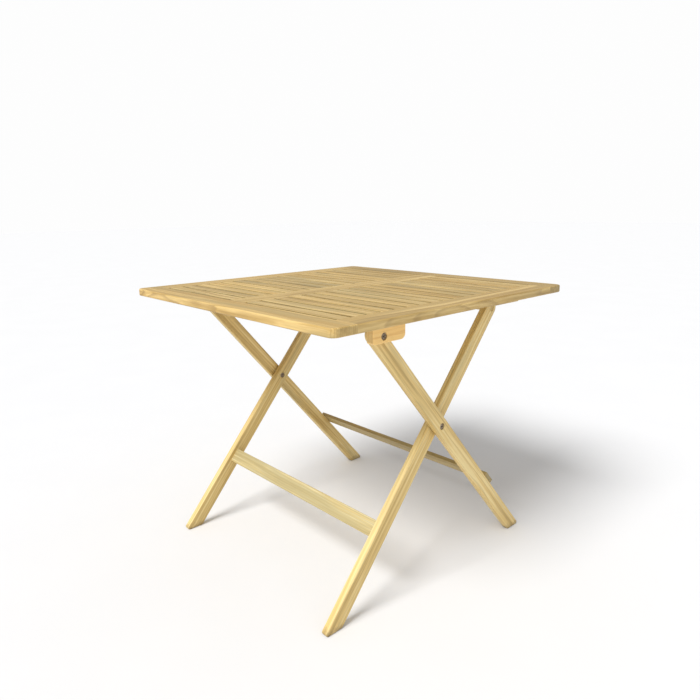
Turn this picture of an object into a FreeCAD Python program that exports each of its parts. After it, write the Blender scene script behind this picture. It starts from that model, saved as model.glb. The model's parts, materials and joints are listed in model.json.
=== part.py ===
import FreeCAD, Part
import Sketcher
import math
import os
import re

# Square folding table: a slatted top on two crossed leg frames, sizes in mm.
# X runs along the slats, Y across them, Z up; the origin is on the floor under the top's centre.
driving = {
    "topLength": 856,         # along X
    "topWidth": 856,          # along Y
    "tableHeight": 740,       # floor to the upper face of the top
    "boardThick": 20,         # rails of the top
    "railWidth": 65,          # all five rails
    "cornerRadius": 18,       # corners of the top in plan
    "outerRound": 3.5,        # rounding of the top's outer edges
    "easedEdge": 1,           # small rounding where boards meet
    "slatsPerBay": 17,
    "slatGap": 7,
    "slatThick": 16,
    "slatRound": 1.5,
    "tongueLength": 8,        # slat tongue in the groove of a rail
    "tongueThick": 7,
    "tenonLength": 25,        # tenons of the side and centre rails
    "tenonThick": 8,
    "tenonShoulder": 12,      # from the tenon to the rail's edge
    "joineryGap": 0.2,        # glue gap round tongues and tenons
    "legWidth": 42,
    "legThick": 19,
    "legRound": 3,            # rounding of the legs' long edges
    "footRound": 6,           # toe and heel of a foot
    "legLean": 40.5,          # degrees from upright, both frames
    "frameGap": 4,            # between an inner and an outer leg
    "crossOffset": -6,        # crossing bolt along Y
    "hingeReach": 232.5,      # crossing bolt to the hinge bolts and to the crossbar, along Y
    "hingeDrop": 31.3,        # underside of the top to the hinge bolts and the crossbar
    "stretcherWidth": 42,
    "stretcherThick": 18,
    "stretcherRound": 2.5,
    "innerStretcherDrop": 299,  # crossing bolt to the stretcher, down the leg
    "outerStretcherDrop": 301,
    "outerStretcherThick": 12,
    "stretcherTenonLength": 13,
    "stretcherTenonThick": 10,
    "stretcherShoulder": 4.5,   # from the tenon to the stretcher's edge
    "crossbarRadius": 10,
    "crossbarSeatGap": 0.35,
    "cleatThick": 20,
    "cleatOntoRail": 15.5,    # part of the cleat's thickness that lies under the side rail
    "cleatBelowHinge": 14.7,
    "cleatFront": 34,         # hinge to the cleat's end on the -Y side
    "cleatBack": 68,
    "cleatRound": 13,
    "cleatScrewInset": 17,    # from either end of the cleat
    "washerThick": 1.5,
    "washerRadius": 9,
    "catchGap": 5,            # between a catch and an inner leg
    "catchThick": 22,
    "catchBelowBar": 4.7,     # from the crossbar's centre
    "catchFront": 45,         # crossbar to the catch's open end
    "catchOntoRail": 35,      # length that lies under the back rail
    "catchStepGap": 1,        # from the catch's raised part to the back rail
    "battenRound": 1.5,       # easing of the cleats and catches
    "boltRadius": 3,
    "nutRadius": 4,
    "headRadius": 7.5,
    "headThick": 3,
    "headRecess": 1.5,        # from the wood's face down to the head
    "headClearance": 1.4,
    "pinClearance": 0.05,     # running fit of bolts and nuts in the wood
    "socketFlats": 4,
    "socketDepth": 2,
    "nutHeadThick": 2.5,
    "screwRadius": 2,
    "screwHeadRadius": 4,
    "screwHeadThick": 2.4,
    "screwClearance": 0.3,
    "screwGrip": 12,          # thread length in a leg or the back rail
    "thinGrip": 7.5,          # thread length below the grooves and in a slat
    "screwSlot": 1.2,         # width and depth of a driver slot
    "screwSlotLength": 4.8,
    "screwWell": 22,          # sunk hole in a cleat below its screw head
}

doc = FreeCAD.newDocument("FoldingTable")
sheet = doc.addObject("Spreadsheet::Sheet", "Sizes")
for row, (alias, value) in enumerate(driving.items(), 1):
    sheet.set(f"A{row}", str(value))
    sheet.setAlias(f"A{row}", alias)
doc.recompute()

pieces = []


def tied(text):
    """The expression with each size's name pointed at the sheet."""
    return re.sub(r"[A-Za-z]+", lambda m: "Sizes." + m.group() if m.group() in driving else m.group(), text)


def size(text):
    """The number that the expression gives now."""
    return float(sheet.evalExpression(tied(text)))


def bind(item, **fields):
    names = {"x": "Placement.Base.x", "y": "Placement.Base.y", "z": "Placement.Base.z",
             "turn": "Placement.Rotation.Angle"}
    for field, text in fields.items():
        item.setExpression(names.get(field, field), tied(str(text)))


def newBody(label, x="0", y="0", z="0", turn=None):
    """A body for one piece; turn leans it about the X axis."""
    body = doc.addObject("PartDesign::Body", label)
    body.Label = label
    if turn:
        body.Placement.Rotation = FreeCAD.Rotation(FreeCAD.Vector(1, 0, 0), 1)
        bind(body, turn=turn)
    bind(body, x=x, y=y, z=z)
    pieces.append(body)
    return body


def block(body, length, width, height, x, y, z, cut=False):
    kind = "PartDesign::SubtractiveBox" if cut else "PartDesign::AdditiveBox"
    item = body.newObject(kind, "Recess" if cut else "Block")
    bind(item, Length=length, Width=width, Height=height, x=x, y=y, z=z)
    doc.recompute()
    return item


def bore(body, radius, length, x, y, z, axis="X", cut=True):
    """A round hole, or with cut=False a round bar, from x, y, z along X or Z."""
    kind = "PartDesign::SubtractiveCylinder" if cut else "PartDesign::AdditiveCylinder"
    item = body.newObject(kind, "Bore" if cut else "Bar")
    if axis == "X":
        item.Placement.Rotation = FreeCAD.Rotation(FreeCAD.Vector(0, 1, 0), 90)
    if axis == "Y":
        item.Placement.Rotation = FreeCAD.Rotation(FreeCAD.Vector(1, 0, 0), -90)
    bind(item, Radius=radius, Height=length, x=x, y=y, z=z)
    doc.recompute()
    return item


def ease(body, radius, chosen):
    """Round the edges of the body's last feature that chosen(middle, direction) picks."""
    base = body.Tip
    names = []
    for number, edge in enumerate(base.Shape.Edges, 1):
        middle = edge.valueAt((edge.FirstParameter + edge.LastParameter) / 2)
        start = edge.valueAt(edge.FirstParameter)
        end = edge.valueAt(edge.LastParameter)
        if chosen(middle, end - start):
            names.append(f"Edge{number}")
    rounding = body.newObject("PartDesign::Fillet", "Rounding")
    rounding.Base = (base, names)
    bind(rounding, Radius=radius)
    body.Tip = rounding
    doc.recompute()
    return rounding


def pilot(body, depth, x, y):
    """A screw hole up into the underside of a board of the top."""
    bore(body, "screwRadius + pinClearance", f"{depth} + joineryGap", x, y, "0", axis="Z")


def near(value, text, margin=0.01):
    return abs(value - size(text)) < margin


topUnder = "(tableHeight - boardThick)"
hingeZ = f"({topUnder} - hingeDrop)"
upperArm = "(hingeReach / sin(legLean))"   # crossing bolt to hinge, and to crossbar
crossHeight = f"({hingeZ} - hingeReach / tan(legLean))"   # crossing bolt above the floor
hingeY = "(crossOffset - hingeReach)"
barY = "(crossOffset + hingeReach)"
cleatHeight = "(hingeDrop + cleatBelowHinge)"
catchHeight = "(hingeDrop + catchBelowBar)"
cleatInset = "(topLength / 2 - railWidth + cleatOntoRail - cleatThick)"   # from the centre plane
outerLegInset = f"({cleatInset} - washerThick - legThick)"
innerLegInset = f"({outerLegInset} - frameGap - legThick)"
catchInset = f"({innerLegInset} - catchGap - catchThick)"
cleatScrewPlaces = ("(-cleatFront + cleatScrewInset)", "(cleatBack - cleatScrewInset)")
stretcherScrewPlaces = ("-stretcherWidth / 4", "stretcherWidth / 4")

# ---- top: rails -------------------------------------------------------------------------------

sideRailPlace = "(topLength / 2 - railWidth / 2)"
innerWidth = "(topWidth - 2 * railWidth)"


def makeEndRail(label, side):
    """Front (side -1) or back (side 1) rail: full length, with the top's round corners."""
    body = newBody(label, y=f"{side} * (topWidth - railWidth) / 2", z=topUnder)
    block(body, "topLength", "railWidth", "boardThick", "-topLength / 2", "-railWidth / 2", "0")
    ease(body, "cornerRadius", lambda m, d: near(m.y, f"{side} * railWidth / 2") and abs(d.z) > 1)
    ease(body, "outerRound", lambda m, d: abs(d.z) < 0.01
         and not near(m.y, f"{-side} * railWidth / 2"))
    reach = "tenonLength + joineryGap"
    start = "railWidth / 2 - tenonLength - joineryGap" if side < 0 else "-railWidth / 2"
    for place in (f"-{sideRailPlace}", "0", sideRailPlace):
        block(body, "railWidth - 2 * tenonShoulder + 2 * joineryGap", reach,
              "tenonThick + 2 * joineryGap",
              f"{place} - railWidth / 2 + tenonShoulder - joineryGap", start,
              "(boardThick - tenonThick) / 2 - joineryGap", cut=True)
    if side > 0:
        for mirror in (-1, 1):
            pilot(body, "screwGrip", f"{mirror} * ({catchInset} + catchThick / 2)",
                  "(catchOntoRail - railWidth) / 2")
    return body


def makeSideRail(label, place, side):
    """Left (side -1), centre (side 0) or right (side 1) rail, with tenons and slat grooves."""
    body = newBody(label, x=place, z=topUnder)
    block(body, "railWidth", innerWidth, "boardThick", "-railWidth / 2", f"-{innerWidth} / 2", "0")
    if side:
        ease(body, "outerRound", lambda m, d: near(m.x, f"{side} * railWidth / 2") and abs(d.y) > 1)
    ease(body, "easedEdge", lambda m, d: abs(d.z) < 0.01 and abs(d.y) > 1
         and abs(m.x) > size("railWidth / 2") - 0.01)
    for end in (f"-{innerWidth} / 2 - tenonLength", f"{innerWidth} / 2"):
        block(body, "railWidth - 2 * tenonShoulder", "tenonLength", "tenonThick",
              "-railWidth / 2 + tenonShoulder", end, "(boardThick - tenonThick) / 2")
    grooveDepth = "tongueLength + joineryGap"
    for face in (-1, 1):
        if face != side:
            block(body, grooveDepth, innerWidth, "tongueThick + 2 * joineryGap",
                  "-railWidth / 2" if face < 0 else f"railWidth / 2 - ({grooveDepth})",
                  f"-{innerWidth} / 2", "boardThick - (slatThick + tongueThick) / 2 - joineryGap",
                  cut=True)
    if side:
        for step in cleatScrewPlaces:
            pilot(body, "thinGrip", f"{side} * ({cleatInset} + cleatThick / 2) - {place}",
                  f"{hingeY} + {step}")
    return body


# ---- top: slats -------------------------------------------------------------------------------

slatWidth = f"(({innerWidth} - (slatsPerBay + 1) * slatGap) / slatsPerBay)"
bayWidth = "((topLength - 3 * railWidth) / 2)"


def slatStart(number):
    return f"(-{innerWidth} / 2 + slatGap + {number} * ({slatWidth} + slatGap))"


# The slat over the middle of the catches, counted from the front rail, takes one of their screws.
catchMiddle = size(f"({barY} + {innerWidth} / 2) / 2")
screwSlat = min(range(int(size("slatsPerBay"))),
                key=lambda number: abs(size(f"{slatStart(number)} + {slatWidth} / 2") - catchMiddle))


def makeSlat(label, bay, number):
    """One slat; its tongues sit in the grooves of the rails at its two ends."""
    body = newBody(label, x=f"{bay} * (railWidth + {bayWidth}) / 2", y=slatStart(number),
                   z="tableHeight - slatThick")
    block(body, f"{bayWidth} - 2 * joineryGap", slatWidth, "slatThick",
          f"-{bayWidth} / 2 + joineryGap", "0", "0")
    ease(body, "slatRound", lambda m, d: abs(d.z) < 0.01 or abs(d.x) > 1)
    block(body, f"{bayWidth} + 2 * tongueLength", f"{slatWidth} - 2 * slatRound", "tongueThick",
          f"-{bayWidth} / 2 - tongueLength", "slatRound", "(slatThick - tongueThick) / 2")
    if number == screwSlat:
        pilot(body, "thinGrip", f"{bay} * ({catchInset} + catchThick / 2 - (railWidth + {bayWidth}) / 2)",
              f"{slatWidth} / 2")
    return body


# ---- leg frames -------------------------------------------------------------------------------


def sketchOn(body, role, name):
    sketch = body.newObject("Sketcher::SketchObject", name)
    plane = next(item for item in body.Origin.OriginFeatures if item.Role == role)
    sketch.AttachmentSupport = [(plane, "")]
    sketch.MapMode = "FlatFace"
    return sketch


def legOutline(body, lean):
    """Side outline of a leg about the crossing bolt: round top end, foot cut level with the floor.
    lean is 1 when the leg's upper face looks to +Y, -1 when the lower face does."""
    sketch = sketchOn(body, "YZ_Plane", "LegOutline")
    half = size("legWidth / 2")
    arm = size(upperArm)
    sideLengths = [f"({crossHeight} + {sign} * {lean} * legWidth / 2 * sin(legLean)) / cos(legLean)"
                   for sign in (-1, 1)]
    footMinus, footPlus = (size(text) for text in sideLengths)
    corner = FreeCAD.Vector
    minusLow, minusHigh = corner(-half, -footMinus, 0), corner(-half, arm, 0)
    plusLow, plusHigh = corner(half, -footPlus, 0), corner(half, arm, 0)
    sketch.addGeometry([
        Part.LineSegment(minusLow, minusHigh),
        Part.ArcOfCircle(Part.Circle(corner(0, arm, 0), corner(0, 0, 1), half), 0, math.pi),
        Part.LineSegment(plusHigh, plusLow),
        Part.LineSegment(plusLow, minusLow),
    ], False)
    rules = [
        ("Tangent", 0, 2, 1, 2), ("Tangent", 1, 1, 2, 1),
        ("Coincident", 2, 2, 3, 1), ("Coincident", 3, 2, 0, 1),
        ("Vertical", 0), ("PointOnObject", 1, 3, -2),
    ]
    for rule in rules:
        sketch.addConstraint(Sketcher.Constraint(*rule))
    dimensions = [
        (("Radius", 1, half), "legWidth / 2"),
        (("DistanceY", -1, 1, 1, 3, arm), upperArm),
        (("DistanceY", 0, 1, -1, 1, footMinus), sideLengths[0]),
        (("DistanceY", 2, 2, -1, 1, footPlus), sideLengths[1]),
    ]
    for rule, text in dimensions:
        place = sketch.addConstraint(Sketcher.Constraint(*rule))
        sketch.setExpression(f"Constraints[{place}]", tied(text))
    doc.recompute()
    return sketch


def makeLeg(label, side, outer):
    """side is -1 or 1 along X; an outer leg rises to -Y and an inner leg to +Y."""
    lean = 1 if outer else -1
    inset = outerLegInset if outer else innerLegInset
    start = inset if side > 0 else f"-{inset} - legThick"
    body = newBody(label, x=start, y="crossOffset", z=crossHeight, turn=f"{lean} * legLean")
    pad = body.newObject("PartDesign::Pad", "LegPad")
    pad.Profile = legOutline(body, lean)
    bind(pad, Length="legThick")
    doc.recompute()
    body.Tip = pad
    ease(body, "footRound", lambda m, d: abs(d.x) > 1 and m.z < 0)
    ease(body, "legRound", lambda m, d: abs(d.x) < 0.01)
    return body


def pocketFace(side, outward):
    """Where a sunk head's recess starts along a leg's thickness, for its outward or inward face."""
    return side > 0 if outward else side < 0


def sunkBore(body, shaft, depth, thick, farFace, z):
    """A hole right through along X at height z, with a wider recess for a head at one face."""
    bore(body, f"{shaft} + pinClearance", thick, "0", "0", z)
    start = f"{thick} - ({depth})" if farFace else "0"
    bore(body, "headRadius + headClearance", depth, start, "0", z)


def makeOuterLeg(label, side):
    body = makeLeg(label, side, True)
    sunkBore(body, "boltRadius", "headThick + headRecess", "legThick", pocketFace(side, True), "0")
    sunkBore(body, "nutRadius", "nutHeadThick + headRecess", "legThick", pocketFace(side, False), upperArm)
    for place in stretcherScrewPlaces:
        bore(body, "screwRadius + pinClearance", "screwGrip + joineryGap", "legThick / 2",
             "legWidth / 2 - screwGrip - joineryGap", f"-outerStretcherDrop + {place}", axis="Y")
    return body


def makeInnerLeg(label, side):
    body = makeLeg(label, side, False)
    sunkBore(body, "nutRadius", "nutHeadThick + headRecess", "legThick", pocketFace(side, False), "0")
    bore(body, "crossbarRadius + pinClearance", "legThick", "0", "0", upperArm)
    start = "0" if side > 0 else "legThick - stretcherTenonLength - joineryGap"
    block(body, "stretcherTenonLength + joineryGap", "stretcherTenonThick + 2 * joineryGap",
          "stretcherWidth - 2 * stretcherShoulder + 2 * joineryGap", start,
          "-stretcherTenonThick / 2 - joineryGap",
          "-innerStretcherDrop - stretcherWidth / 2 + stretcherShoulder - joineryGap", cut=True)
    return body


def makeInnerStretcher():
    """Flat bar between the inner legs, tenoned into them, lying in the plane of the legs."""
    body = newBody("inner_stretcher", y="crossOffset", z=crossHeight, turn="-legLean")
    block(body, f"2 * {innerLegInset}", "stretcherThick", "stretcherWidth", f"-{innerLegInset}",
          "-stretcherThick / 2", "-innerStretcherDrop - stretcherWidth / 2")
    ease(body, "stretcherRound", lambda m, d: abs(d.x) > 1)
    block(body, f"2 * ({innerLegInset} + stretcherTenonLength)", "stretcherTenonThick",
          "stretcherWidth - 2 * stretcherShoulder", f"-{innerLegInset} - stretcherTenonLength",
          "-stretcherTenonThick / 2", "-innerStretcherDrop - stretcherWidth / 2 + stretcherShoulder")
    return body


def makeOuterStretcher():
    """Flat bar screwed onto the upper faces of the outer legs, from outer face to outer face."""
    body = newBody("outer_stretcher", y="crossOffset", z=crossHeight, turn="legLean")
    span = f"({outerLegInset} + legThick)"
    block(body, f"2 * {span}", "outerStretcherThick", "stretcherWidth", f"-{span}", "legWidth / 2",
          "-outerStretcherDrop - stretcherWidth / 2")
    ease(body, "stretcherRound", lambda m, d: True)
    for side in (-1, 1):
        for place in stretcherScrewPlaces:
            x = f"{side} * ({outerLegInset} + legThick / 2)"
            z = f"-outerStretcherDrop + {place}"
            bore(body, "screwRadius + pinClearance", "outerStretcherThick", x, "legWidth / 2", z, axis="Y")
            bore(body, "screwHeadRadius + screwClearance", "screwHeadThick + headRecess", x,
                 "legWidth / 2 + outerStretcherThick - screwHeadThick - headRecess", z, axis="Y")
    return body


def makeCrossbar():
    """Round bar through the tops of the inner legs; the catches under the top rest on it."""
    body = newBody("crossbar", y="crossOffset", z=crossHeight, turn="-legLean")
    reach = f"({innerLegInset} + legThick - easedEdge)"
    bore(body, "crossbarRadius", f"2 * {reach}", f"-{reach}", "0", upperArm, cut=False)
    body.Tip = body.Group[-1]
    ease(body, "easedEdge", lambda m, d: d.Length < 0.01)
    return body


# ---- fittings under the top -------------------------------------------------------------------


def makeCleat(label, side):
    """Block under a side rail, outside the outer leg, that carries the hinge bolt."""
    start = cleatInset if side > 0 else f"-{cleatInset} - cleatThick"
    body = newBody(label, x=start, y=hingeY, z=topUnder)
    block(body, "cleatThick", "cleatFront + cleatBack", cleatHeight, "0", "-cleatFront", f"-{cleatHeight}")
    ease(body, "cleatRound", lambda m, d: abs(d.x) > 1 and m.y > 0 and near(m.z, f"-{cleatHeight}"))
    ease(body, "cleatRound / 2", lambda m, d: abs(d.x) > 1 and m.y < 0 and near(m.z, f"-{cleatHeight}"))
    ease(body, "battenRound", lambda m, d: abs(d.x) < 0.01 and not near(m.z, "0"))
    sunkBore(body, "boltRadius", "headThick + headRecess", "cleatThick", pocketFace(side, True), "-hingeDrop")
    for place in cleatScrewPlaces:
        bore(body, "screwRadius + pinClearance", cleatHeight, "cleatThick / 2", place, f"-{cleatHeight}", axis="Z")
        bore(body, "screwHeadRadius + screwClearance", "screwWell", "cleatThick / 2", place,
             f"-{cleatHeight}", axis="Z")
    return body


catchBack = f"(topWidth / 2 - railWidth + catchOntoRail - {barY})"
catchScrewPlaces = (f"({catchBack} - catchOntoRail / 2)", f"({slatStart(screwSlat)} + {slatWidth} / 2 - {barY})")


def makeCatch(label, side):
    """Batten under the slats and the back rail. Its end is a seat that drops over the crossbar."""
    start = catchInset if side > 0 else f"-{catchInset} - catchThick"
    body = newBody(label, x=start, y=barY, z=topUnder)
    length = f"catchFront + {catchBack}"
    block(body, "catchThick", length, catchHeight, "0", "-catchFront", f"-{catchHeight}")
    block(body, "catchThick", f"{length} - catchOntoRail - catchStepGap", "boardThick - slatThick", "0", "-catchFront", "0")
    seat = "(crossbarRadius + crossbarSeatGap)"
    bore(body, seat, "catchThick", "0", "0", "-hingeDrop")
    block(body, "catchThick", f"catchFront + {seat}", "catchBelowBar", "0", "-catchFront",
          f"-{catchHeight}", cut=True)
    block(body, "catchThick", "catchFront", f"catchBelowBar + {seat}", "0", "-catchFront",
          f"-{catchHeight}", cut=True)
    ease(body, "battenRound", lambda m, d: abs(d.y) > size("catchThick") and near(m.z, f"-{catchHeight}"))
    for place in catchScrewPlaces:
        bore(body, "screwRadius + pinClearance", f"{catchHeight} + boardThick - slatThick", "catchThick / 2",
             place, f"-{catchHeight}", axis="Z")
        bore(body, "screwHeadRadius + screwClearance", f"{catchHeight} / 2", "catchThick / 2", place,
             f"-{catchHeight}", axis="Z")
    return body


# ---- bolts, nuts, washers and screws ----------------------------------------------------------

def cylinder(radius, length, start, y="0", z="0", axis="X", side=1):
    """A round solid from start, measured from the centre plane towards side along X."""
    item = doc.addObject("Part::Cylinder", "Round")
    if axis == "X":
        item.Placement.Rotation = FreeCAD.Rotation(FreeCAD.Vector(0, 1, 0), 90)
        start = start if side > 0 else f"-({start}) - ({length})"
    if axis == "Y":
        item.Placement.Rotation = FreeCAD.Rotation(FreeCAD.Vector(1, 0, 0), -90)
    bind(item, Radius=radius, Height=length, x=start, y=y, z=z)
    return item


def hexagon(depth, start, y, z, side):
    """The six-sided key socket of a bolt or nut head, its axis along X."""
    item = doc.addObject("Part::Prism", "KeySocket")
    item.Polygon = 6
    item.Placement.Rotation = FreeCAD.Rotation(FreeCAD.Vector(0, 1, 0), 90)
    start = start if side > 0 else f"-({start}) - ({depth})"
    bind(item, Circumradius="socketFlats / 2 / cos(30)", Height=depth, x=start, y=y, z=z)
    return item


def join(*items):
    fuse = doc.addObject("Part::MultiFuse", "Joined")
    fuse.Shapes = list(items)
    return fuse


def carve(base, tool):
    cut = doc.addObject("Part::Cut", "Carved")
    cut.Base = base
    cut.Tool = tool
    return cut


def group(label, items):
    """One node made of separate solids."""
    compound = doc.addObject("Part::Compound", label)
    compound.Label = label
    compound.Links = items
    pieces.append(compound)
    return compound


def makeBolt(side, headFace, nutFace, y, z):
    """Key-socket bolt; headFace and nutFace are the wood faces, from the centre plane."""
    under = f"({headFace} - headRecess - headThick)"
    tip = f"({nutFace} + headRecess + nutHeadThick + easedEdge)"
    head = cylinder("headRadius", "headThick", under, y, z, side=side)
    shank = cylinder("boltRadius", f"{under} - {tip}", tip, y, z, side=side)
    socket = hexagon("socketDepth", f"{headFace} - headRecess - socketDepth", y, z, side)
    return carve(join(head, shank), socket)


def makeNut(side, nutFace, y, z):
    """Barrel nut let into a leg from its inner face."""
    face = f"({nutFace} + headRecess)"
    head = cylinder("headRadius", "nutHeadThick", face, y, z, side=side)
    barrel = cylinder("nutRadius", "legThick - headRecess - easedEdge", face, y, z, side=side)
    thread = cylinder("boltRadius + pinClearance", "legThick", f"{face} + nutHeadThick", y, z, side=side)
    socket = hexagon("socketDepth", face, y, z, side)
    return carve(carve(join(head, barrel), thread), socket)


def makeWasher(side, start, thick, y, z):
    ring = cylinder("washerRadius", thick, start, y, z, side=side)
    return carve(ring, cylinder("boltRadius + pinClearance", thick, start, y, z, side=side))


def makeScrew(length, x, y, z, axis):
    """Wood screw whose head starts at x, y, z; its shank runs on along axis for length."""
    ahead = {"Y": (x, f"{y} - ({length})", z), "Z": (x, y, f"{z} + screwHeadThick")}[axis]
    head = cylinder("screwHeadRadius", "screwHeadThick", x, y, z, axis)
    shank = cylinder("screwRadius", length, ahead[0], ahead[1], ahead[2], axis)
    slots = []
    for turned in (0, 1):
        slot = doc.addObject("Part::Box", "DriverSlot")
        wide, narrow = "screwSlotLength", "screwSlot"
        across, along = (wide, narrow) if turned else (narrow, wide)
        if axis == "Y":
            bind(slot, Length=across, Height=along, Width="screwSlot", x=f"{x} - {across} / 2",
                 y=f"{y} + screwHeadThick - screwSlot", z=f"{z} - {along} / 2")
        else:
            bind(slot, Length=across, Width=along, Height="screwSlot", x=f"{x} - {across} / 2",
                 y=f"{y} - {along} / 2", z=z)
        slots.append(slot)
    return carve(join(head, shank), join(*slots))


def makeFittings():
    bolts = {"cross_bolts": [], "cross_nuts": [], "cross_washers": [],
             "pivot_bolts": [], "pivot_nuts": [], "pivot_washers": []}
    for side in (-1, 1):
        outerFace = f"{outerLegInset} + legThick"
        bolts["cross_bolts"].append(
            makeBolt(side, outerFace, innerLegInset, "crossOffset", crossHeight))
        bolts["cross_nuts"].append(makeNut(side, innerLegInset, "crossOffset", crossHeight))
        bolts["cross_washers"].append(
            makeWasher(side, f"{outerLegInset} - frameGap", "frameGap", "crossOffset", crossHeight))
        bolts["pivot_bolts"].append(
            makeBolt(side, f"{cleatInset} + cleatThick", outerLegInset, hingeY, hingeZ))
        bolts["pivot_nuts"].append(makeNut(side, outerLegInset, hingeY, hingeZ))
        bolts["pivot_washers"].append(makeWasher(side, outerFace, "washerThick", hingeY, hingeZ))
    for label, items in bolts.items():
        group(label, items)
    stretcherScrews = []
    topScrews = []
    for side in (-1, 1):
        for place in stretcherScrewPlaces:
            stretcherScrews.append(makeScrew(
                "screwGrip + outerStretcherThick - screwHeadThick - headRecess",
                f"{side} * ({outerLegInset} + legThick / 2)",
                "legWidth / 2 + outerStretcherThick - headRecess - screwHeadThick",
                f"-outerStretcherDrop + {place}", "Y"))
        for place in cleatScrewPlaces:
            topScrews.append(makeScrew(
                f"{cleatHeight} - screwWell + thinGrip", f"{side} * ({cleatInset} + cleatThick / 2)",
                f"{hingeY} + {place}", f"{topUnder} - {cleatHeight} + screwWell - screwHeadThick", "Z"))
        for place, extra in zip(catchScrewPlaces, ("screwGrip", "boardThick - slatThick + thinGrip")):
            topScrews.append(makeScrew(
                f"{catchHeight} / 2 + {extra}", f"{side} * ({catchInset} + catchThick / 2)",
                f"{barY} + {place}", f"{topUnder} - {catchHeight} / 2 - screwHeadThick", "Z"))
    leaning = group("stretcher_screws", stretcherScrews)
    leaning.Placement.Rotation = FreeCAD.Rotation(FreeCAD.Vector(1, 0, 0), 1)
    bind(leaning, turn="legLean", y="crossOffset", z=crossHeight)
    group("top_screws", topScrews)


for name, side in (("front_rail", -1), ("back_rail", 1)):
    makeEndRail(name, side)
for name, place, side in (("left_rail", f"-{sideRailPlace}", -1), ("centre_rail", "0", 0),
                          ("right_rail", sideRailPlace, 1)):
    makeSideRail(name, place, side)
for bayName, bay in (("left", -1), ("right", 1)):
    for number in range(int(size("slatsPerBay"))):
        makeSlat(f"slat_{bayName}_{number + 1:02d}", bay, number)
for name, side in (("left", -1), ("right", 1)):
    makeOuterLeg(f"outer_leg_{name}", side)
    makeInnerLeg(f"inner_leg_{name}", side)
    makeCleat(f"pivot_cleat_{name}", side)
    makeCatch(f"catch_{name}", side)
makeInnerStretcher()
makeOuterStretcher()
makeCrossbar()
makeFittings()

doc.recompute()
for item in doc.Objects:
    if "Invalid" in item.State or "Error" in item.State:
        raise RuntimeError(f"{item.Label}: {item.State}")
for piece in pieces:
    if piece.Shape.isNull() or not piece.Shape.isValid():
        raise RuntimeError(f"{piece.Label} has no valid shape")
os.makedirs("parts", exist_ok=True)
for piece in pieces:
    piece.Shape.exportStep(f"parts/{piece.Label}.step")
print(len(pieces), "pieces written")
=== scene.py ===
import json
import math
import random

import bpy
from mathutils import Matrix, Vector

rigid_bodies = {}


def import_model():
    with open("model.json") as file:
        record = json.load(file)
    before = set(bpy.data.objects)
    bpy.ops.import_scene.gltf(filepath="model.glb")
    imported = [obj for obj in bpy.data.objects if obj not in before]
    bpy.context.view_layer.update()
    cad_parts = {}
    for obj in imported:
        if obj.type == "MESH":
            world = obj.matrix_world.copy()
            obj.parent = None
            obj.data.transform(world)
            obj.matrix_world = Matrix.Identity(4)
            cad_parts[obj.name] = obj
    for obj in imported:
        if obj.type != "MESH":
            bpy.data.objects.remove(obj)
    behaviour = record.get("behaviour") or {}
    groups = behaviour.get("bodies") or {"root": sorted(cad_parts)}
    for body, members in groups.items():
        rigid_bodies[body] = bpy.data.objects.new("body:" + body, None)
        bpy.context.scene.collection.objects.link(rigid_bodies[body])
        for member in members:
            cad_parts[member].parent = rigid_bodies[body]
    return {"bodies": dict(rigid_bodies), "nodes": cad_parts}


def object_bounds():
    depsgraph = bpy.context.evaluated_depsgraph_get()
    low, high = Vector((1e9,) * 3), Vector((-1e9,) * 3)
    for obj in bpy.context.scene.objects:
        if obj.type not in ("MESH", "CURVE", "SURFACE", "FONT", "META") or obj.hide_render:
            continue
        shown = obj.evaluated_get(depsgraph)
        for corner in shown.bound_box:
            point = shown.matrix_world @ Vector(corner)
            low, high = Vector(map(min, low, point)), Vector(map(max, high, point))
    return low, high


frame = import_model()
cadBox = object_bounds()
bodies, nodes = frame["bodies"], frame["nodes"]


class NodeSheet:
    # a small helper that drops nodes into a material and joins them up
    def __init__(self, name):
        self.material = bpy.data.materials.new(name)
        self.material.use_nodes = True
        self.tree = self.material.node_tree
        self.tree.nodes.clear()

    def add(self, kind, settings=None, **inputs):
        # an input is given by its name, or by its place as at0, at1, at2
        node = self.tree.nodes.new("ShaderNode" + kind)
        for field, value in (settings or {}).items():
            setattr(node, field, value)
        for label, value in inputs.items():
            self.feed(node.inputs[self.place(node, label)], value)
        return node

    def place(self, node, label):
        if label.startswith("at"):
            return int(label[2:])
        wanted = label.replace("_", " ").lower()
        return next(i for i, s in enumerate(node.inputs) if s.name.lower() == wanted)

    def feed(self, socket, value):
        if isinstance(value, bpy.types.NodeSocket):
            self.tree.links.new(value, socket)
        elif isinstance(value, bpy.types.Node):
            self.tree.links.new(value.outputs[0], socket)
        else:
            socket.default_value = value

    def maths(self, operation, first, second=0.0, third=None, clamp=False):
        node = self.add("Math", {"operation": operation, "use_clamp": clamp}, at0=first, at1=second)
        if third is not None:
            self.feed(node.inputs[2], third)
        return node

    def blend(self, amount, first, second, how="MIX"):
        return self.add("MixRGB", {"blend_type": how}, at0=amount, at1=first, at2=second)

    def ramp(self, value, stops, smooth=True):
        node = self.add("ValToRGB", at0=value)
        band = node.color_ramp
        band.interpolation = "EASE" if smooth else "LINEAR"
        for number, (place, colour) in enumerate(stops):
            stop = band.elements[number] if number < 2 else band.elements.new(place)
            stop.position = place
            stop.color = (*colour, 1.0)
        return node


black, white = (0.0,) * 3, (1.0,) * 3
blueLoss = 2.2    # warmth lowers blue by this much more than it raises red


def shifted(colour, tone, warmth):
    r, g, b = colour
    return (r * tone * (1 + warmth), g * tone, b * tone * (1 - blueLoss * warmth))


legLean = math.radians(40.5)    # from upright
legAxes = ("outer", "inner")


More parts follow.
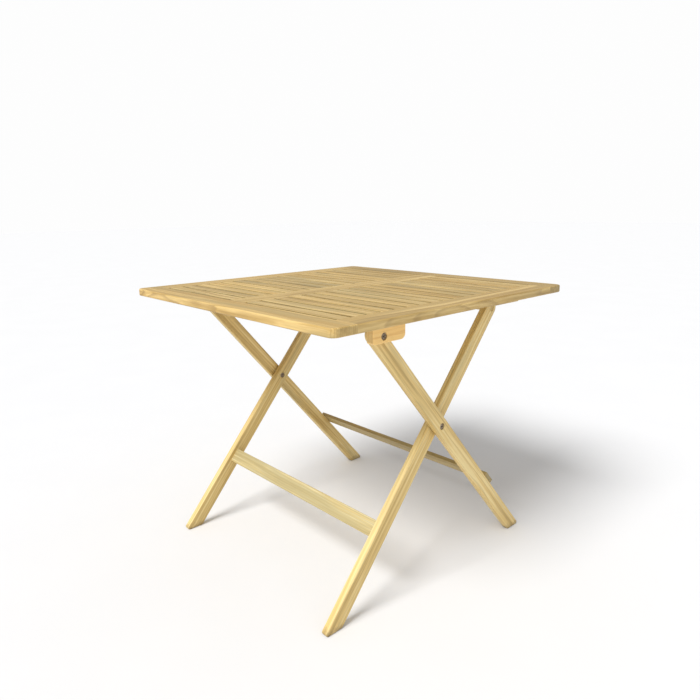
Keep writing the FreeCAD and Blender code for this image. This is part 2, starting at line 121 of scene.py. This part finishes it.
def grainTurn(axis):
    # rotation that takes the board's own length to the sheet's X, or a leg's to its Z
    if axis == "x":
        return (0.0, 0.0, 0.0)
    if axis == "y":
        return (0.0, 0.0, -math.pi / 2)
    lean = legLean if axis == "outer" else -legLean
    return (-lean, 0.0, 0.0)


# for each figure in the wood: scale along and across the grain, step from board to board, detail, roughness
grainFigures = {
    "warp": (1.5, 18.0, 0.37, 3.0, 0.50),      # unevenness of the rings
    "streak": (2.2, 95.0, 1.3, 5.0, 0.60),     # long light and dark streaks
    "pores": (30.0, 1300.0, 0.7, 2.0, 0.50),
    "drift": (3.0, 26.0, 2.3, 3.0, 0.55),      # slow weathering
}
crossSteps = {"across": 1.7, "down": 0.31}     # across times the step above, down alike for all figures


class Grain:
    # where a point lies along, across and down through its board
    def __init__(self, sheet, axis, seed):
        self.sheet, self.seed = sheet, seed
        self.where = sheet.add("TexCoord").outputs["Object"]
        turned = sheet.add("Mapping", {"vector_type": "POINT"}, Vector=self.where, Rotation=grainTurn(axis))
        parts = sheet.add("SeparateXYZ", at0=turned)
        order = (2, 0, 1) if axis in legAxes else (0, 1, 2)
        self.along, self.across, self.down = (parts.outputs[i] for i in order)

    def stretched(self, length, width, offset, shift=None):
        # a place in the board with its own scale along and across the grain
        maths, seed = self.sheet.maths, self.seed
        side = self.across if shift is None else maths("ADD", self.across, shift)
        return self.sheet.add("CombineXYZ", at0=maths("MULTIPLY_ADD", self.along, length, seed * offset),
                              at1=maths("MULTIPLY_ADD", side, width, seed * offset * crossSteps["across"]),
                              at2=maths("MULTIPLY_ADD", self.down, width, seed * crossSteps["down"]))

    def figure(self, kind, shift=None):
        length, width, offset, detail, roughness = grainFigures[kind]
        place = self.stretched(length, width, offset, shift)
        return self.sheet.add("TexNoise", Vector=place, Scale=1.0, Detail=detail, Roughness=roughness)


rings = {
    "heartAcross": (0.03, 0.09),    # how far off the board the heart of the tree lies, metres
    "heartDown": (0.02, 0.06),
    "bendScale": 2.2,
    "bendStep": 3.1,                # from board to board
    "bendDown": 0.5,                # share of the sideways bend
    "warp": 2.6,                    # rings that the unevenness shifts
    "early": (0.55, (0.22,) * 3),   # place in a ring and depth of colour
    "late": (0.88, white),
}


def heartBend(grain, look):
    # the tree's heart wanders sideways along the board's length
    sheet = grain.sheet
    place = sheet.maths("MULTIPLY_ADD", grain.along, rings["bendScale"], grain.seed * rings["bendStep"])
    wander = sheet.add("TexNoise", {"noise_dimensions": "1D"}, W=place, Scale=1.0, Detail=2.0, Roughness=0.4)
    return sheet.maths("MULTIPLY_ADD", wander, look["wander"], -look["wander"] / 2)


def treeRings(grain, look, axis, bend, dice):
    sheet = grain.sheet
    heartAcross = dice.uniform(*rings["heartAcross"]) * dice.choice((-1, 1))
    heartDown = dice.uniform(*rings["heartDown"]) * dice.choice((-1, 1))
    if axis not in legAxes:
        heartDown -= cadBox[1][2]    # boards of the top lie at table height
    ringSide = sheet.maths("ADD", sheet.maths("ADD", grain.across, bend), heartAcross)
    ringDown = sheet.maths("MULTIPLY_ADD", bend, rings["bendDown"], grain.down)
    ringDown = sheet.maths("ADD", ringDown, heartDown)
    fromHeart = sheet.add("CombineXYZ", at0=0.0, at1=ringSide, at2=ringDown)
    radius = sheet.add("VectorMath", {"operation": "LENGTH"}, at0=fromHeart).outputs["Value"]
    warp = sheet.maths("MULTIPLY", grain.figure("warp"), rings["warp"])
    count = sheet.maths("MULTIPLY_ADD", radius, 1.0 / look["ringWidth"], warp)
    stops = [(0.0, black), rings["early"], rings["late"], (1.0, black)]
    return sheet.ramp(sheet.maths("FRACT", count), stops)


knot = {
    "cells": 4.6,                          # to a metre; only one centred near the surface shows
    "squeeze": (1.0, 1.7, 0.9),            # along, across and step from board to board
    "halo": 0.095,
    "haloDepth": 0.45,
    "core": 0.022,
    "coreDepth": (0.9,) * 3,
    "coreEnd": 0.045,
    "colour": (0.070, 0.032, 0.012, 1.0),
}


def addKnots(grain, colour, deep, size):
    sheet = grain.sheet
    cells = sheet.add("TexVoronoi", {"feature": "F1"}, Vector=grain.stretched(*knot["squeeze"]),
                      Scale=knot["cells"], Randomness=1.0).outputs["Distance"]
    halo = sheet.ramp(cells, [(0.0, white), (knot["halo"] * size, black)])
    core = sheet.ramp(cells, [(0.0, white), (knot["core"] * size, knot["coreDepth"]),
                              (knot["coreEnd"] * size, black)])
    colour = sheet.blend(sheet.maths("MULTIPLY", halo, knot["haloDepth"]), colour, deep)
    return sheet.blend(core, colour, knot["colour"])


sawnEnd = {"slope": 4.0, "start": -3.0, "grey": 0.60, "mid": 0.30}


def addSawnEnds(sheet, face, colour, look, axis, mid, grey):
    # sawn ends soak up more and go an even dull grey
    facing = sheet.maths("ABSOLUTE", sheet.add("SeparateXYZ", at0=face).outputs["xy".index(axis)])
    sawn = sheet.maths("MULTIPLY_ADD", facing, sawnEnd["slope"], sawnEnd["start"], clamp=True)
    dull = tuple(sawnEnd["grey"] * a + sawnEnd["mid"] * b for a, b in zip(grey, mid))
    return sheet.blend(sheet.maths("MULTIPLY", sawn, look["endDull"]), colour, dull)


wornAndLitCorner = {
    "reach": 0.0030,    # metres from the corner
    "slope": 6.0,
    "strength": 1.6,
    "lift": (1.10, 1.12, 1.20, 1.0),
}


def addWornAndLitCorners(sheet, face, colour, look, pale, patchy):
    # corners that hands and weather have rubbed paler, together with a painted highlight where the rounded
    # edges catch the light
    rounded = sheet.add("Bevel", {"samples": 4}, Radius=wornAndLitCorner["reach"])
    facing = sheet.add("VectorMath", {"operation": "DOT_PRODUCT"}, at0=rounded, at1=face).outputs["Value"]
    edge = sheet.maths("MULTIPLY_ADD", facing, -wornAndLitCorner["slope"], wornAndLitCorner["slope"], clamp=True)
    wearAndHighlight = look["edgeWearAndHighlight"] * wornAndLitCorner["strength"]
    edge = sheet.maths("MULTIPLY", sheet.maths("MULTIPLY", edge, patchy), wearAndHighlight, clamp=True)
    return sheet.blend(edge, colour, tuple(a * b for a, b in zip(pale, wornAndLitCorner["lift"])))


slatSide = {"slope": 3.2, "start": -1.9}


def addGapShade(sheet, face, colour, look):
    # faces that look across a gap at the next slat get painted shade, darker where the gap keeps the light
    # out
    facing = sheet.maths("ABSOLUTE", sheet.add("SeparateXYZ", at0=face).outputs["Y"])
    inGap = sheet.maths("MULTIPLY_ADD", facing, slatSide["slope"], slatSide["start"], clamp=True)
    return sheet.blend(inGap, colour, sheet.blend(1.0, colour, (*look["gapShade"], 1.0), "MULTIPLY"))


damp = {
    "colour": (0.130, 0.090, 0.045, 1.0),
    "strength": 0.75,
    "raggedness": 0.030,
    "slope": -45.0,        # for each metre above the ground
    "start": 1.45,
}


def addDampFeet(grain, colour, patchy):
    # damp from the ground darkens the lowest centimetres
    sheet = grain.sheet
    height = sheet.add("SeparateXYZ", at0=grain.where).outputs["Z"]
    ragged = sheet.maths("MULTIPLY_ADD", patchy, damp["raggedness"], height)
    soaked = sheet.maths("MULTIPLY_ADD", ragged, damp["slope"], damp["start"], clamp=True)
    return sheet.blend(sheet.maths("MULTIPLY", soaked, damp["strength"]), colour, damp["colour"])


oiled = {
    "tints": (0.34, 0.48, 0.62),    # places of the deep, middle and pale tone among the streaks
    "poreSize": 0.42,
    "poreDepth": 0.40,
    "weathered": (0.47, 0.66),      # where the grey starts and is full
    "patches": 70.0,
    "streakGloss": 0.18,
    "lateGloss": -0.05,
    "relief": {"late": 0.35, "streak": 0.8, "pores": -0.8},
    "bump": (0.40, 0.0006),         # strength and depth
    "sockets": {"Specular IOR Level": 0.35, "Coat Weight": 0.05, "Coat Roughness": 0.35},
}


def oiledShader(sheet, colour, look, late, streak, pores):
    rough = sheet.maths("MULTIPLY_ADD", streak, oiled["streakGloss"],
                        look["roughness"] - oiled["streakGloss"] / 2)
    rough = sheet.maths("MULTIPLY_ADD", late, oiled["lateGloss"], rough)
    relief = oiled["relief"]
    height = sheet.maths("MULTIPLY", streak, relief["streak"])
    height = sheet.maths("MULTIPLY_ADD", late, relief["late"], height)
    height = sheet.maths("MULTIPLY_ADD", pores, relief["pores"], height)
    strength, depth = oiled["bump"]
    bump = sheet.add("Bump", Strength=strength, Distance=depth, Height=height)
    shader = sheet.add("BsdfPrincipled", Base_Color=colour, Roughness=rough, Normal=bump)
    for socket, value in oiled["sockets"].items():
        shader.inputs[socket].default_value = value
    sheet.add("OutputMaterial", Surface=shader)


def makeWood(name, look, axis, seed, knots=0.0, tone=1.0, warmth=0.0):
    # look is one of the boards below, and axis the way that the board lies
    dice = random.Random(seed)
    sheet = NodeSheet(name)
    tone *= 1.0 + look["toneSpread"] * dice.uniform(-1, 1)
    warmth += look["hueSpread"] * dice.uniform(-1, 1)
    pale, mid, deep, line, grey = ((*shifted(look[part], tone, warmth), 1.0)
                                   for part in ("pale", "mid", "deep", "line", "grey"))
    grain = Grain(sheet, axis, seed)
    bend = heartBend(grain, look)
    late = treeRings(grain, look, axis, bend, dice)
    streak = grain.figure("streak", bend)
    pores = sheet.ramp(grain.figure("pores"), [(0.0, white), (oiled["poreSize"], black)], smooth=False)
    drift = sheet.ramp(grain.figure("drift", bend), list(zip(oiled["weathered"], (black, white))))

    colour = sheet.ramp(streak, list(zip(oiled["tints"], (deep[:3], mid[:3], pale[:3]))))
    colour = sheet.blend(sheet.maths("MULTIPLY", late, look["ringDepth"]), colour, line)
    colour = sheet.blend(sheet.maths("MULTIPLY", drift, look["greyAmount"]), colour, grey)
    colour = sheet.blend(sheet.maths("MULTIPLY", pores, oiled["poreDepth"]), colour, line)
    if knots:
        colour = addKnots(grain, colour, deep, knots)
    face = sheet.add("NewGeometry").outputs["Normal"]
    patchy = sheet.add("TexNoise", Vector=grain.where, Scale=oiled["patches"], Detail=3.0)
    if axis not in legAxes:
        colour = addSawnEnds(sheet, face, colour, look, axis, mid, grey)
    colour = addWornAndLitCorners(sheet, face, colour, look, pale, patchy)
    # the slats' sides in the gaps get painted shade
    if name.startswith("oiled_slat"):
        colour = addGapShade(sheet, face, colour, look)
    if axis in legAxes:
        colour = addDampFeet(grain, colour, patchy)
    oiledShader(sheet, colour, look, late, streak, pores)
    return sheet.material


steel = {
    "bright": (0.460, 0.360, 0.250, 1.0),
    "tarnish": (0.080, 0.054, 0.032, 1.0),
    "spots": 380.0,
    "tarnished": (0.30, 0.68),      # where the tarnish starts and is full
    "brushing": (90.0, 2400.0, 2400.0),
    "roughness": 0.30,
    "tarnishRoughness": 0.25,
    "brushingRoughness": 0.12,
    "bump": (0.25, 0.0002),         # strength and depth
}


def makeSteel(name, seed):
    sheet = NodeSheet(name)
    where = sheet.add("TexCoord").outputs["Object"]
    spots = sheet.add("TexNoise", Vector=where, Scale=steel["spots"] + seed, Detail=4.0, Roughness=0.5)
    brushed = sheet.add("TexNoise", Vector=sheet.add("Mapping", Vector=where, Scale=steel["brushing"]),
                        Scale=1.0, Detail=2.0)
    mask = sheet.ramp(spots, list(zip(steel["tarnished"], (black, white))))
    colour = sheet.blend(mask, steel["bright"], steel["tarnish"])
    rough = sheet.maths("MULTIPLY_ADD", mask, steel["tarnishRoughness"], steel["roughness"])
    rough = sheet.maths("MULTIPLY_ADD", brushed, steel["brushingRoughness"], rough)
    strength, depth = steel["bump"]
    bump = sheet.add("Bump", Strength=strength, Distance=depth, Height=brushed)
    shader = sheet.add("BsdfPrincipled", Base_Color=colour, Roughness=rough, Normal=bump, Metallic=0.85)
    sheet.add("OutputMaterial", Surface=shader)
    return sheet.material


def dress(name, material):
    # every slot of the part takes the new finish
    piece = nodes[name]
    if not piece.material_slots:
        piece.data.materials.append(material)
    for slot in piece.material_slots:
        slot.material = material


# tones of the oiled boards, pale early wood to dark late wood
topBoards = {
    "pale": (0.770, 0.560, 0.235),
    "mid": (0.600, 0.410, 0.145),
    "deep": (0.420, 0.268, 0.085),
    "line": (0.255, 0.148, 0.044),    # late wood lines and pores
    "grey": (0.400, 0.312, 0.140),    # weathered greenish patches
    "toneSpread": 0.13,               # how far one board may be lighter or darker than the next
    "hueSpread": 0.030,               # and how far warmer or cooler
    "ringWidth": 0.0046,              # growth rings, metres
    "ringDepth": 0.50,
    "wander": 0.030,                  # how far the grain swings sideways along a board
    "greyAmount": 0.55,
    "roughness": 0.52,
    "edgeWearAndHighlight": 0.10,
    "endDull": 0.50,                  # how far a sawn end goes towards dull grey
    "gapShade": (0.54, 0.58, 0.62),    # painted shade on the sides between slats, where the narrow gaps hold little light
}
frameBoards = dict(
    topBoards, pale=(0.900, 0.710, 0.330), mid=(0.790, 0.570, 0.215), deep=(0.580, 0.395, 0.130),
    grey=(0.500, 0.400, 0.180), toneSpread=0.06, hueSpread=0.015, ringWidth=0.0062, ringDepth=0.28,
    wander=0.014, greyAmount=0.50, roughness=0.48, edgeWearAndHighlight=0.40)
sideRailBoards = dict(topBoards, greyAmount=0.22, ringDepth=0.36)
# the cleat's tones are pushed up to full brightness: painted light, making up for the light that its shaded
# place does not get
cleatBoards = dict(
    frameBoards, pale=(1.000, 0.720, 0.310), mid=(0.990, 0.660, 0.240), deep=(0.840, 0.520, 0.170),
    line=(0.560, 0.330, 0.100), ringWidth=0.0085, ringDepth=0.30, greyAmount=0.10)

# lightness of the boards, and also warmth for the bars between the legs; some of the lightness is painted
# light and shade
slatShadeTones = {"front": 1.02, "step": 0.005}    # each slat towards the back is a little darker: painted shade for light that falls off towards the back
# front rail lighter, back and right rails darker: painted light and shade, as light falls off from the front
# towards the back and right; the left and centre rails differ in tone only
railTonesAndShade = {"front_rail": 1.06, "back_rail": 0.86,
             "left_rail": 1.00, "centre_rail": 0.98, "right_rail": 0.91}
# the outer stretcher's low tone is painted shade, for the shadow it sits in under the top
barTonesAndShade = {"inner_stretcher": (0.81, -0.09), "outer_stretcher": (0.62, -0.02), "crossbar": (0.95, 0.0)}
catchTone = 0.95
knotSizes = {"longRail": 1.0, "sideRail": 0.6, "leg": 0.5}
boardSeeds = {"start": 3, "step": 7, "sideRail": 5}    # they choose each board's own grain


def finishFor(name, seed):
    if name.startswith("slat"):
        fade = slatShadeTones["front"] - slatShadeTones["step"] * int(name[-2:])
        return makeWood("oiled_" + name, topBoards, "x", seed, tone=fade)
    if name in ("front_rail", "back_rail"):
        return makeWood("oiled_" + name, topBoards, "x", seed, knots=knotSizes["longRail"],
                        tone=railTonesAndShade[name])
    if name in railTonesAndShade:
        return makeWood("oiled_" + name, sideRailBoards, "y", seed + boardSeeds["sideRail"],
                        knots=knotSizes["sideRail"], tone=railTonesAndShade[name])
    if name.startswith("pivot_cleat"):
        return makeWood("oiled_" + name, cleatBoards, "y", seed)
    if name.startswith("catch"):
        return makeWood("oiled_" + name, frameBoards, "y", seed, tone=catchTone)
    if "_leg_" in name:
        return makeWood("oiled_" + name, frameBoards, name.split("_")[0], seed, knots=knotSizes["leg"])
    if name in barTonesAndShade:
        tone, warmth = barTonesAndShade[name]
        return makeWood("oiled_" + name, frameBoards, "x", seed, tone=tone, warmth=warmth)
    return makeSteel("dull_" + name, seed)


for number, name in enumerate(sorted(nodes)):
    dress(name, finishFor(name, number * boardSeeds["step"] + boardSeeds["start"]))
print("finishes on")

room = {
    "floorColour": (0.832, 0.833, 0.840),
    "floorMottle": 0.99,        # tone of the floor's darker patches
    "floorReach": 30.0,
    "floorLevel": -0.0003,      # a hair under the feet
    "skyStrength": 0.50,        # light from the room
    "skySeen": 0.985,           # what stands behind the table, nearly white
}


def makeFloor():
    sheet = NodeSheet("pale_floor")
    where = sheet.add("TexCoord").outputs["Object"]
    mottle = sheet.add("TexNoise", Vector=where, Scale=3.0, Detail=4.0)
    patches = tuple(c * room["floorMottle"] for c in room["floorColour"])
    colour = sheet.ramp(mottle, [(0.3, patches), (0.7, room["floorColour"])])
    shader = sheet.add("BsdfPrincipled", Base_Color=colour, Roughness=0.9)
    shader.inputs["Specular IOR Level"].default_value = 0.1
    # clear from below, so the underside of the table can be looked at
    below = sheet.add("NewGeometry").outputs["Backfacing"]
    clear = sheet.add("BsdfTransparent")
    sheet.add("OutputMaterial", Surface=sheet.add("MixShader", at0=below, at1=shader, at2=clear))

    reach = room["floorReach"]
    mesh = bpy.data.meshes.new("floor")
    corners = ((-reach, -reach), (reach, -reach), (reach, reach), (-reach, reach))
    mesh.from_pydata([(x, y, room["floorLevel"]) for x, y in corners], [], [(0, 1, 2, 3)])
    floor = bpy.data.objects.new("floor", mesh)
    bpy.context.collection.objects.link(floor)
    mesh.materials.append(sheet.material)


def makeSky():
    world = bpy.data.worlds.new("studio")
    bpy.context.scene.world = world
    world.use_nodes = True
    tree = world.node_tree
    sky = tree.nodes["Background"]
    seen = tree.nodes.new("ShaderNodeLightPath")
    level = tree.nodes.new("ShaderNodeMapRange")
    level.inputs["To Min"].default_value = room["skyStrength"]
    level.inputs["To Max"].default_value = room["skySeen"]
    tree.links.new(seen.outputs["Is Camera Ray"], level.inputs["Value"])
    tree.links.new(level.outputs[0], sky.inputs["Strength"])
    sky.inputs["Color"].default_value = (1.0, 1.0, 1.0, 1.0)


lamps = {
    "sunTravel": (-0.03, 0.64, -0.73),
    "sunStrength": 2.95,
    "sunSpread": 26.0,          # degrees, a broad window
    "fillPower": 6.5,
    "fillSize": 2.2,
    "fillPlace": (3.2, -0.6, 0.9),
    "fillAim": (0, 0, 0.45),
}


def addLamp(name, lamp, place, aim):
    thing = bpy.data.objects.new(name, lamp)
    bpy.context.collection.objects.link(thing)
    thing.location = place
    thing.rotation_euler = (Vector(aim) - Vector(place)).to_track_quat("-Z", "Y").to_euler()


def makeLamps():
    window = bpy.data.lights.new("window", "SUN")
    window.energy = lamps["sunStrength"]
    window.angle = math.radians(lamps["sunSpread"])
    above = Vector((0, 0, 3))
    addLamp("window", window, above, above + Vector(lamps["sunTravel"]))
    fill = bpy.data.lights.new("fill", "AREA")
    fill.energy = lamps["fillPower"]
    fill.size = lamps["fillSize"]
    addLamp("fill", fill, lamps["fillPlace"], lamps["fillAim"])


makeFloor()
makeSky()
makeLamps()
print("room and lamps ready")

camera = {
    "place": (1.2446, -1.1384, 0.9606),
    "yaw": 47.484,              # degrees, as are the next two
    "pitch": -12.271,
    "roll": -0.848,
    "lens": 30.657,
    "sensor": 36.0,
    "shift": (0.0031, -0.0190),
    "farthest": 60.0,           # metres that it sees
}


def makeCamera():
    data = bpy.data.cameras.new("view")
    data.sensor_width = camera["sensor"]
    data.lens = camera["lens"]
    data.shift_x, data.shift_y = camera["shift"]
    data.clip_end = camera["farthest"]
    yaw, pitch, roll = (math.radians(camera[k]) for k in ("yaw", "pitch", "roll"))
    ahead = Vector((-math.sin(yaw) * math.cos(pitch), math.cos(yaw) * math.cos(pitch), math.sin(pitch)))
    right = Vector((math.cos(yaw), math.sin(yaw), 0.0))
    up = right.cross(ahead)
    side = math.cos(roll) * right + math.sin(roll) * up
    top = -math.sin(roll) * right + math.cos(roll) * up
    thing = bpy.data.objects.new("view", data)
    bpy.context.collection.objects.link(thing)
    turned = Matrix((side, top, -ahead)).transposed().to_4x4()
    turned.translation = camera["place"]
    thing.matrix_world = turned
    bpy.context.scene.camera = thing


makeCamera()
bpy.context.scene.view_settings.view_transform = "Standard"   # pale wood keeps its warmth
print("camera placed")
